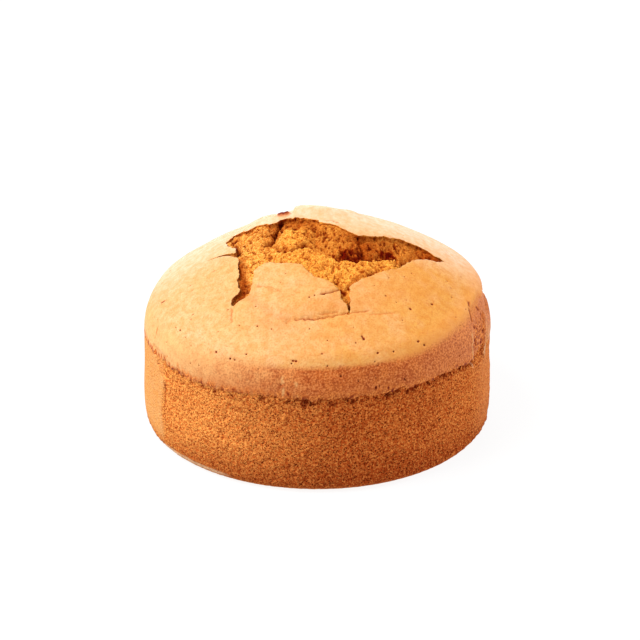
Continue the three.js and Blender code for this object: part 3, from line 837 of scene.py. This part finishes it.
inner = scattered(lip.min(0), lip.max(0), FLOOR_STEP, FLOOR_SEED)
inner = inner[within(lip, inner)]
inner = inner[gap_to([closed_lip], inner) > FLOOR_CLEAR]
corners, middles = triangles([lip], inner)
corners = corners[within(lip, middles)]
floor_height, shade = torn_crumb(inner)
place = upright(inner, floor_height)
loose = smooth(gap_to([closed_lip], inner), 0, FLOOR_HELD)
strands = smooth(inner[:, 1], *STRAND_FRONT) * (1 - smooth(inner[:, 0], *STRAND_RIGHT))
pit = bubbles(place, **FLOOR_CELLS) * (1 - STRAND_CALM * strands)
lumps = layered(place, FLOOR_UNEVEN)
rift = np.maximum(rifts(place, **WIDE_RIFTS), NARROW_RIFT_SHARE * rifts(place, **NARROW_RIFTS))
rift *= smooth(uneven(place, **RIFT_GAPE), *RIFT_GAPE_EDGE)
place[:, 2] += loose * (lumps - RIFT_DEPTH * rift - CELL_DEPTH * pit)
# Painted shade in the floor's hollows, rifts and cells.
hollow = np.clip(-lumps / FLOOR_HOLLOW, 0, FLOOR_HOLLOW_DARK)
sunk = np.max([pit, RIFT_DARK * rift, hollow], axis=0)
floor = np.concatenate([rows[-1], put(place, pit=sunk * loose, depth=shade)])
cover(floor[corners], BURST_CRUMB)


# Side of the cake
# Bare crumb where the lining paper pulled the skin off, spreading a little downwards to a rounded
# foot. A ragged seam runs under the crust's torn edge, and the base is flat. Pits, the seam, folds and
# cracks are darkened with painted shade.
SKIN_STEP = 0.6
BASE_SPREAD = 1.4
SPREAD_HEIGHT = 14
BASE_ROWS = 5
SIDE_ROWS = 48
BARE_FROM = (0, 2.5)
SEAM_HEIGHT = 4.2
SEAM_STEP = 0.15
SEAM_RINGS = [
    dict(below=3.3, cut=0.2), dict(below=2.5, cut=0.65), dict(below=1.7, cut=1), dict(below=0.9, cut=1),
    dict(below=0.2, cut=0.7),
]
SEAM_WANDER = [(0.4, 2.2, 31)]
# Seam gaps, folds and cell pits are darkened with painted shade.
SEAM_DARK = 0.85
SEAM_DARK_FROM = (0.2, 1.2)
FOLD_DARK = 0.3
SIDE_CELL_DARK = 0.8
BASE_RINGS = 3
# A painted highlight along a thin pale rim low on the left of the foot.
FOOT_RIM_HEIGHT = 3
FOOT_RIM_WIDTH = 1.4
FOOT_RIM_FROM = (-155, -145)
FOOT_RIM_TO = (-126, -112)


def side_ring(radius, height, seam=0.0):
    height = np.broadcast_to(height, TURN_STEPS)
    aside, paper = side_relief(turn, height)
    place = upright(circle(turn, np.broadcast_to(radius, TURN_STEPS)), height)
    bare = np.clip(1 - paper["skin"] + paper["torn"], 0, 1) * smooth(height, *BARE_FROM)
    relief, pit = side_crumb(place)
    place[:, :2] += circle(turn, aside + bare * relief - seam)
    seam_dark = np.broadcast_to(SEAM_DARK * smooth(seam, *SEAM_DARK_FROM), TURN_STEPS)
    sunk = np.max([SIDE_CELL_DARK * pit * bare, FOLD_DARK * paper["fold"], paper["crack"], seam_dark], axis=0)
    rim_highlight = between(turn, FOOT_RIM_FROM, FOOT_RIM_TO) * bell((height - FOOT_RIM_HEIGHT) / FOOT_RIM_WIDTH)
    return put(place, pit=sunk, bare=bare, pale=np.maximum(paper["ridge"], rim_highlight))


edge = edge_height(turn)
seam = seam_depth(turn, edge)
wall_radius = CRUST_RADIUS - SKIN_STEP
foot_radius = wall_radius + BASE_SPREAD
rings = []
for row in range(BASE_ROWS + 1):
    lean = np.pi / 2 * row / BASE_ROWS
    radius = foot_radius - BASE_EDGE_RADIUS * (1 - np.sin(lean))
    rings.append(side_ring(radius, BASE_EDGE_RADIUS * (1 - np.cos(lean))))
for row in range(1, SIDE_ROWS + 1):
    height = BASE_EDGE_RADIUS + (edge - SEAM_HEIGHT - BASE_EDGE_RADIUS) * row / SIDE_ROWS
    radius = foot_radius - BASE_SPREAD * smooth(height, SPREAD_HEIGHT, CRUST_EDGE_HEIGHT)
    rings.append(side_ring(radius, height))
wander = 1 + layered(upright(circle(turn, CRUST_RADIUS)), SEAM_WANDER)
seam_radius = wall_radius + (SKIN_STEP - SEAM_STEP) * (1 - skin_at_seam(turn, edge))
for ring in SEAM_RINGS:
    rings.append(side_ring(seam_radius, edge - ring["below"] * wander, ring["cut"] * seam))
rings.append(crust_edge)
for below, above in zip(rings, rings[1:]):
    stitch(below, above, SIDE_CRUMB)

base_ring = rings[0]
for share in np.linspace(1, 0, BASE_RINGS + 1)[1:-1]:
    next_ring = put(upright(circle(turn, foot_radius * share)))
    stitch(next_ring, base_ring, SIDE_CRUMB)
    base_ring = next_ring
middle = put([(0, 0, 0)])
cover(np.column_stack([np.roll(base_ring, -1), base_ring, np.repeat(middle, TURN_STEPS)]), SIDE_CRUMB)

mesh = bpy.data.meshes.new("baked_sponge_cake")
mesh.from_pydata(np.vstack(points) * MM, [], faces)
mesh.polygons.foreach_set("material_index", finishes)
mesh.polygons.foreach_set("use_smooth", [True] * len(faces))
for name, blocks in marks.items():
    mesh.attributes.new(name, "FLOAT", "POINT").data.foreach_set("value", np.concatenate(blocks))
mesh.update()
cake = bpy.data.objects.new("baked_sponge_cake", mesh)
bpy.context.scene.collection.objects.link(cake)


# Finishes of the cake
# Crust: dry, slightly satin skin. Crumb: open golden foam, browner at the side. A range says where
# a tone starts and ends, in metres or as a level of its noise or mark, and then its least and most.
VECTOR, VALUE = "NodeSocketVector", "NodeSocketFloat"
BAKE_LAYERS = {"Patches": (38, 2), "Clouds": (95, 3), "Mottle": (300, 3), "Speckle": (1100, 2)}
BAKE_SPAN = (0.3, 0.7)
FINER_CELLS = 1.7
LARGE_CELL = (0.36, 0.18)
SMALL_CELL = (0.3, 0.1, 0, 0.7)
GRAIN_DETAIL = 2
GRAIN_SPAN = (0.38, 0.62)


def srgb(red, green, blue):
    channels = np.array([red, green, blue]) / 255
    linear = np.where(channels <= 0.04045, channels / 12.92, ((channels + 0.055) / 1.055) ** 2.4)
    return (*linear, 1)


def add(tree, kind, inputs=None, **settings):
    node = tree.nodes.new("ShaderNode" + kind)
    for name, value in settings.items():
        setattr(node, name, value)
    for name, value in (inputs or {}).items():
        if isinstance(value, bpy.types.NodeSocket):
            tree.links.new(value, node.inputs[name])
        else:
            node.inputs[name].default_value = value
    return node


def blend(share, first, second, mode="MIX"):
    inputs = {0: share, 6: first, 7: second}
    return add(share.id_data, "Mix", inputs, data_type="RGBA", blend_type=mode).outputs[2]


def tinted(share, colour, tint):
    return blend(share, colour, tint, "MULTIPLY")


def ramp(value, start, end, least=0.0, most=1.0):
    levels = {"Value": value, "From Min": start, "From Max": end, "To Min": least, "To Max": most}
    return add(value.id_data, "MapRange", levels).outputs["Result"]


def combined(operation, first, second, clamp=False):
    inputs = {0: first, 1: second}
    return add(first.id_data, "Math", inputs, operation=operation, use_clamp=clamp).outputs[0]


def product(first, second):
    return combined("MULTIPLY", first, second, clamp=True)


def sum_of(first, second, scale=1.0):
    inputs = {0: second, 1: scale, 2: first}
    return add(first.id_data, "Math", inputs, operation="MULTIPLY_ADD").outputs[0]


def mark_of(tree, name):
    return add(tree, "Attribute", attribute_name=name).outputs["Fac"]


def new_group(name, inputs, outputs):
    tree = bpy.data.node_groups.new(name, "ShaderNodeTree")
    for label, kind in inputs.items():
        tree.interface.new_socket(name=label, in_out="INPUT", socket_type=kind)
    for label in outputs:
        tree.interface.new_socket(name=label, in_out="OUTPUT", socket_type=VALUE)
    return tree, tree.nodes.new("NodeGroupInput").outputs, tree.nodes.new("NodeGroupOutput").inputs


uneven_bake, given, out = new_group("uneven_bake", {"Place": VECTOR}, BAKE_LAYERS)
for label, (scale, detail) in BAKE_LAYERS.items():
    texture = add(uneven_bake, "TexNoise", {"Vector": given["Place"], "Scale": scale, "Detail": detail})
    uneven_bake.links.new(ramp(texture.outputs["Fac"], *BAKE_SPAN), out[label])

cell_inputs = {"Place": VECTOR, "Cells": VALUE}
crumb_cells, given, out = new_group("crumb_cells", cell_inputs, ["Pits", "Grain", "Height"])
wide_cells = {"Vector": given["Place"], "Scale": given["Cells"]}
fine_cells = {"Vector": given["Place"], "Scale": combined("MULTIPLY", given["Cells"], FINER_CELLS)}
large = add(crumb_cells, "TexVoronoi", wide_cells).outputs["Distance"]
small = add(crumb_cells, "TexVoronoi", fine_cells).outputs["Distance"]
rough = add(crumb_cells, "TexNoise", {**wide_cells, "Detail": GRAIN_DETAIL}).outputs["Fac"]
pit = combined("MAXIMUM", ramp(large, *LARGE_CELL), ramp(small, *SMALL_CELL))
grain = ramp(rough, *GRAIN_SPAN)
for label, value in (("Pits", pit), ("Grain", grain), ("Height", combined("SUBTRACT", grain, pit))):
    crumb_cells.links.new(value, out[label])


def new_finish(name, cell_count):
    material = bpy.data.materials.new(name)
    material.use_nodes = True
    cake.data.materials.append(material)
    tree = material.node_tree
    place = add(tree, "TexCoord").outputs["Object"]
    cells = add(tree, "Group", {"Place": place, "Cells": cell_count}, node_tree=crumb_cells).outputs
    return tree, place, add(tree, "SeparateXYZ", {0: place}).outputs, cells


def finish(colour, roughness, shine, height, depth, strength):
    tree = colour.id_data
    shader = tree.nodes["Principled BSDF"]
    tree.links.new(colour, shader.inputs["Base Color"])
    tree.links.new(roughness, shader.inputs["Roughness"])
    bump = add(tree, "Bump", {"Height": height, "Distance": depth * MM, "Strength": strength})
    tree.links.new(bump.outputs["Normal"], shader.inputs["Normal"])
    shader.inputs["Specular IOR Level"].default_value = shine


# Crust: gold on the left of the dome to orange on the right, partly browning and partly painted light from
# the left; cream across its middle, partly a painted sheen; red brown on its upright side, paler on the left,
# also partly painted light.
LEFT_GOLD = srgb(221, 177, 124)
RIGHT_ORANGE = srgb(220, 157, 75)
SHOULDER_ORANGE = srgb(233, 148, 72)
CREAM_AND_SHEEN = srgb(232, 198, 166)
MOTTLE_TINT = srgb(246, 228, 204)
BAND_PALE = srgb(232, 182, 117)
BAND_BROWN = srgb(217, 119, 51)
BAND_LOW = srgb(186, 98, 46)
BAND_CLOUD = srgb(222, 200, 194)
BAND_LIGHT = srgb(230, 148, 86)
BAND_DARK = srgb(126, 42, 6)
PORE_AND_CRACK_SHADE = srgb(150, 80, 36)
CREASE_BROWN_AND_SHADE = srgb(196, 98, 36)
TORN_AMBER = srgb(240, 146, 68)
TORN_BROWN = srgb(150, 62, 14)
BROWNING_AND_LIGHT = (-0.07, 0.06, -0.1, 0.9)
BROWNED_PATCHES = 0.3
CREAM_CLOUDS = (0.5, 1, 0, 0.16)
CREAM_FRONT = (-0.021, 0.018)
CREAM_REAR = (0.034, 0.066, 1, 0.1)
MOTTLED = (0.1, 0.9)
FRECKLES = (0.4, 1, 0, 0.4)
FRECKLED = (-0.02, 0.01, 1, 0.4)
BAND_BROWNING_AND_LIGHT = (-0.068, 0.008)
BAND_MOTTLE = 0.2
BAND_CLOUDS = (0.2, 0.8, 0, 0.8)
BAND_WISPS = (0.3, 0.9, 0, 0.5)
BAND_CLOUDED = (-0.07, -0.01, 0.25, 1)
BAND_RIGHT = (0.045, 0.08, 0, 0.4)
LOW_LEVEL = (0.063, 0.053)
LOW_BROWNED = (-0.078, -0.05, 0, 0.5)
SPECKLED = (-0.06, -0.01, 0.35, 1)
LIGHT_SPECKS = (0.45, 0.1, 0, 0.5)
DARK_SPECKS = (0.42, 0.85, 0, 0.6)
SHOULDER_LINE = 0.0676
SHOULDER_LEAN = 0.014
SHOULDER_CLIMB = (0.05, 0.078, 0, 0.004)
SHOULDER_WANDER = 0.0014
SHOULDER_SOFT = (-0.07, -0.01, 0.006, 0.0022)
RIGHT_SOFT = (0.03, 0.06, 0, 0.002)
WARM_LEVEL = (SHOULDER_LINE + 0.009, SHOULDER_LINE, 0, 0.6)
WARM_RIGHT = (0.01, 0.05)
RIDGE_PALE = (0.2, 1, 0, 0.7)
CREASED = (0, 0.4, 0, 0.6)
PITTED = (0.3, 0.8)
CRUST_ROUGHNESS = (0, 1, 0.52, 0.64)

tree, place, axes, cells = new_finish("baked_crust", cell_count=1250)
bake = add(tree, "Group", {"Place": place}, node_tree=uneven_bake).outputs
# Browning and painted light: the dome is paler on the left, towards the key light, and more orange on the
# right.
browning_and_light = sum_of(ramp(axes["X"], *BROWNING_AND_LIGHT), bake["Patches"], BROWNED_PATCHES)
colour = blend(browning_and_light, LEFT_GOLD, RIGHT_ORANGE)
colour = blend(ramp(bake["Clouds"], *CREAM_CLOUDS), colour, CREAM_AND_SHEEN)
# Painted sheen and cream: a pale band across the middle of the dome stands partly for sheen from the light
# behind.
cream_and_sheen_share = product(ramp(axes["Y"], *CREAM_FRONT), ramp(axes["Y"], *CREAM_REAR))
colour = blend(cream_and_sheen_share, colour, CREAM_AND_SHEEN)
colour = tinted(ramp(bake["Mottle"], *MOTTLED), colour, MOTTLE_TINT)
freckled = product(ramp(bake["Speckle"], *FRECKLES), ramp(axes["Y"], *FRECKLED))
colour = blend(freckled, colour, CREASE_BROWN_AND_SHADE)

# The band is paler on the left, partly painted light from the left and partly browning.
band = blend(sum_of(ramp(axes["X"], *BAND_BROWNING_AND_LIGHT), bake["Mottle"], BAND_MOTTLE), BAND_PALE, BAND_BROWN)
clouds = sum_of(ramp(bake["Clouds"], *BAND_CLOUDS), ramp(bake["Mottle"], *BAND_WISPS))
band = tinted(product(clouds, ramp(axes["X"], *BAND_CLOUDED)), band, BAND_CLOUD)
band = blend(ramp(axes["X"], *BAND_RIGHT), band, BAND_LIGHT)
level = sum_of(axes["Z"], axes["X"], -SHOULDER_LEAN)
level = sum_of(level, ramp(axes["X"], *SHOULDER_CLIMB), -1)
band = blend(product(ramp(level, *LOW_LEVEL), ramp(axes["X"], *LOW_BROWNED)), band, BAND_LOW)
speckled = ramp(axes["X"], *SPECKLED)
band = blend(product(ramp(bake["Speckle"], *LIGHT_SPECKS), speckled), band, BAND_LIGHT)
band = blend(product(ramp(bake["Speckle"], *DARK_SPECKS), speckled), band, BAND_DARK)

level = sum_of(level, bake["Mottle"], SHOULDER_WANDER)
soft = sum_of(ramp(axes["X"], *SHOULDER_SOFT), ramp(axes["X"], *RIGHT_SOFT))
above = sum_of(combined("SUBTRACT", level, SHOULDER_LINE), soft, 0.5)
on_top = combined("DIVIDE", above, soft, clamp=True)
warmed = product(ramp(level, *WARM_LEVEL), ramp(axes["X"], *WARM_RIGHT))
colour = blend(warmed, colour, SHOULDER_ORANGE)
colour = blend(on_top, band, colour)
torn = blend(cells["Grain"], TORN_BROWN, TORN_AMBER)
colour = blend(mark_of(tree, "bare"), colour, torn)
colour = blend(ramp(mark_of(tree, "pale"), *RIDGE_PALE), colour, BAND_PALE)
# The pit mark darkens pores, creases and cracks with painted shade; freckles are real browning.
pit = mark_of(tree, "pit")
colour = blend(ramp(pit, *CREASED), colour, CREASE_BROWN_AND_SHADE)
colour = tinted(ramp(pit, *PITTED), colour, PORE_AND_CRACK_SHADE)
roughness = ramp(bake["Mottle"], *CRUST_ROUGHNESS)
finish(colour, roughness, shine=0.12, height=bake["Speckle"], depth=0.3, strength=0.4)

# Side crumb: amber foam, with the skin that the paper left at either side. Its pits, seam, folds and cracks
# are darkened with painted shade, and it darkens to the right with painted shade and some real browning.
SIDE_AMBER = srgb(252, 170, 86)
SIDE_BROWN = srgb(202, 84, 22)
RIGHT_SHADE_AND_BROWN = srgb(214, 177, 160)
FOOT_BROWN = srgb(146, 52, 14)
SKIN_TAN = srgb(230, 170, 106)
SKIN_AMBER = srgb(232, 160, 86)
SKIN_TINT = srgb(238, 212, 212)
RIM_PAINTED_HIGHLIGHT = srgb(248, 212, 168)
PIT_PAINTED_SHADE = srgb(142, 64, 20)
PALE_GRAIN = srgb(240, 150, 76)
DEEP_PAINTED_SHADE = srgb(150, 48, 6)
AMBER_GRAIN = (0, 1, 0.25, 1)
RIGHT_SHADE = (-0.058, 0.016)
RIGHT_EDGE = (0.05, 0.088, 0, -0.4)
SHADE_PATCHES = (0, 1, 0, 0.25)
FOOT_LEVEL = (0.022, 0.001, 0, 0.75)
FOOT_BROWNED = (-0.085, -0.06, 0.35, 1)
RIGHT_COARSE = (-0.06, -0.005)
COARSE_GRAIN = (0.6, 1, 0, 0.32)
CLUSTERS = (0.15, 0.75, 0.55, 1)
COARSE_CLUSTERS = 0.2
COARSE_PITS = 0.25
DEEPER_PITS = (0.85, 1.2, 0, 0.6)
SKIN_SPECKS = (0.3, 1, 0, 0.4)
SKIN_RIGHT = (0, 0.06)
RIM_SHARE = (0.3, 1, 0, 0.75)
DEEP_GRAIN = -0.4
DEEP_PITS = (-0.05, 0.55, 0, 0.75)
SIDE_ROUGHNESS = (0, 1, 0.95, 0.85)

tree, place, axes, cells = new_finish("side_crumb", cell_count=980)
bake = add(tree, "Group", {"Place": place}, node_tree=uneven_bake).outputs
colour = blend(ramp(cells["Grain"], *AMBER_GRAIN), SIDE_BROWN, SIDE_AMBER)
# Painted shade: the side crumb darkens and reddens to the right, away from the key light, and lightens a
# little at the far right; part of it is real browning.
shaded = sum_of(ramp(axes["X"], *RIGHT_SHADE), ramp(axes["X"], *RIGHT_EDGE))
colour = tinted(shaded, colour, RIGHT_SHADE_AND_BROWN)
colour = tinted(ramp(bake["Patches"], *SHADE_PATCHES), colour, RIGHT_SHADE_AND_BROWN)
browned_foot = product(ramp(axes["Z"], *FOOT_LEVEL), ramp(axes["X"], *FOOT_BROWNED))
colour = blend(browned_foot, colour, FOOT_BROWN)
coarse = ramp(axes["X"], *RIGHT_COARSE)
colour = blend(product(ramp(cells["Grain"], *COARSE_GRAIN), coarse), colour, PALE_GRAIN)
clusters = sum_of(ramp(bake["Mottle"], *CLUSTERS), coarse, COARSE_CLUSTERS)
# Pits darkened with painted shade, more towards the right.
pitted = product(cells["Pits"], clusters)
colour = tinted(pitted, colour, PIT_PAINTED_SHADE)
colour = tinted(ramp(sum_of(pitted, coarse, COARSE_PITS), *DEEPER_PITS), colour, PIT_PAINTED_SHADE)
skin = blend(bake["Mottle"], SKIN_TAN, SKIN_AMBER)
skin = blend(ramp(bake["Speckle"], *SKIN_SPECKS), skin, SIDE_BROWN)
skin = tinted(ramp(axes["X"], *SKIN_RIGHT), skin, SKIN_TINT)
colour = blend(mark_of(tree, "bare"), skin, colour)
# Pale skin ridges, and the painted highlight of the foot rim.
colour = blend(ramp(mark_of(tree, "pale"), *RIM_SHARE), colour, RIM_PAINTED_HIGHLIGHT)
# Deep pits, seam gaps, folds and cracks darkened with painted shade.
deep = sum_of(mark_of(tree, "pit"), cells["Grain"], DEEP_GRAIN)
colour = tinted(ramp(deep, *DEEP_PITS), colour, DEEP_PAINTED_SHADE)
roughness = ramp(cells["Grain"], *SIDE_ROUGHNESS)
finish(colour, roughness, shine=0.02, height=cells["Height"], depth=0.6, strength=0.6)

# Burst crumb: moist golden foam, with painted shade down the walls, in the clefts and trench pools, and in
# its cells, rifts and hollows.
BURST_PALE = srgb(252, 192, 98)
BURST_GOLD = srgb(248, 176, 76)
BURST_AMBER = srgb(222, 136, 46)
CELL_PAINTED_SHADE = srgb(204, 156, 118)
WALL_PAINTED_SHADE = srgb(188, 135, 98)
HOLE_PAINTED_SHADE = srgb(152, 66, 22)
GOLD_RIGHT = (-0.035, -0.01)
CELLS_DARK = (0, 1, 0, 0.8)
WALL_SHADE_RANGE = (0.1, 0.65)
HOLE_SHADE_RANGE = (0.6, 1)
REAR_SUNK = (-0.02, -0.006, 1, 1.28)
CELL_SUNK = (0.05, 0.75)
HOLE_SUNK = (0.42, 0.9, 0, 0.9)
BURST_ROUGHNESS = (0, 1, 0.9, 0.75)

tree, place, axes, cells = new_finish("burst_crumb", cell_count=1000)
colour = blend(ramp(axes["X"], *GOLD_RIGHT), BURST_PALE, BURST_GOLD)
colour = blend(cells["Grain"], BURST_AMBER, colour)
colour = tinted(ramp(cells["Pits"], *CELLS_DARK), colour, CELL_PAINTED_SHADE)
# The mark named depth is the burst's painted shade; the pit mark is painted shade in cells, rifts and
# hollows, stronger towards the rear.
depth = mark_of(tree, "depth")
colour = tinted(ramp(depth, *WALL_SHADE_RANGE), colour, WALL_PAINTED_SHADE)
colour = tinted(ramp(depth, *HOLE_SHADE_RANGE), colour, HOLE_PAINTED_SHADE)
sunk = product(mark_of(tree, "pit"), ramp(axes["Y"], *REAR_SUNK))
colour = tinted(ramp(sunk, *CELL_SUNK), colour, CELL_PAINTED_SHADE)
colour = tinted(ramp(sunk, *HOLE_SUNK), colour, HOLE_PAINTED_SHADE)
roughness = ramp(cells["Grain"], *BURST_ROUGHNESS)
finish(colour, roughness, shine=0.02, height=cells["Height"], depth=0.6, strength=0.5)

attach(cake, "root")
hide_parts("sponge_cake")


# Studio
# A glowing white table, a large soft light high at the left, a weaker one at the right and a low
# one behind, with white light all round. The camera stands where the photograph was taken from.
FLOOR_SIZE = 6.0
FLOOR_DROP = 0.0002
PAPER_LOOK = {
    "Base Color": (0.08, 0.08, 0.08, 1), "Roughness": 0.9,
    "Emission Color": (1, 1, 1, 1), "Emission Strength": 0.9,
}
AIR_LOOK = {"Color": (1, 1, 1, 1), "Strength": 0.5}
LIGHT_AIM = Vector((0, 0, 0.05))
CAMERA_DISTANCE = 1.08
CAMERA_TILT = radians(25.4)
LOOK_AT = Vector((0, 0, 0.045))
SENSOR_WIDTH = 36
FOCAL_PIXELS = 2058
FRAME_PIXELS = 640
CAKE_LEFT_PIXELS = 2.9
CAKE_BELOW_PIXELS = 12

scene = bpy.context.scene
scene.view_settings.view_transform = "Standard"
half = FLOOR_SIZE / 2
floor_corners = [(x, y, -FLOOR_DROP) for x, y in ((-half, -half), (half, -half), (half, half), (-half, half))]
floor_mesh = bpy.data.meshes.new("studio_floor")
floor_mesh.from_pydata(floor_corners, [], [(0, 1, 2, 3)])
floor_sheet = bpy.data.objects.new("studio_floor", floor_mesh)
scene.collection.objects.link(floor_sheet)
paper = bpy.data.materials.new("white_paper")
floor_sheet.data.materials.append(paper)
world = bpy.data.worlds.new("studio_air")
scene.world = world
for owner, node, look in ((paper, "Principled BSDF", PAPER_LOOK), (world, "Background", AIR_LOOK)):
    owner.use_nodes = True
    for name, value in look.items():
        owner.node_tree.nodes[node].inputs[name].default_value = value


def soft_light(name, place, size, power):
    lamp = bpy.data.lights.new(name, "AREA")
    lamp.size = size
    lamp.energy = power
    holder = bpy.data.objects.new(name, lamp)
    holder.location = place
    holder.rotation_euler = (LIGHT_AIM - Vector(place)).to_track_quat("-Z", "Y").to_euler()
    scene.collection.objects.link(holder)


soft_light("key_light", place=(-0.83, -0.22, 1.28), size=1.0, power=31)
soft_light("side_light", place=(1.2, 0.1, 0.45), size=0.8, power=8)
soft_light("rear_light", place=(0.1, 1.5, 0.2), size=0.9, power=8)

camera_data = bpy.data.cameras.new("camera")
camera_data.sensor_width = SENSOR_WIDTH
camera_data.lens = SENSOR_WIDTH * FOCAL_PIXELS / FRAME_PIXELS
camera_data.shift_x = CAKE_LEFT_PIXELS / FRAME_PIXELS
camera_data.shift_y = CAKE_BELOW_PIXELS / FRAME_PIXELS
camera = bpy.data.objects.new("camera", camera_data)
camera.location = LOOK_AT + CAMERA_DISTANCE * Vector((0, -np.cos(CAMERA_TILT), np.sin(CAMERA_TILT)))
camera.rotation_euler = (np.pi / 2 - CAMERA_TILT, 0, 0)
scene.collection.objects.link(camera)
scene.camera = camera
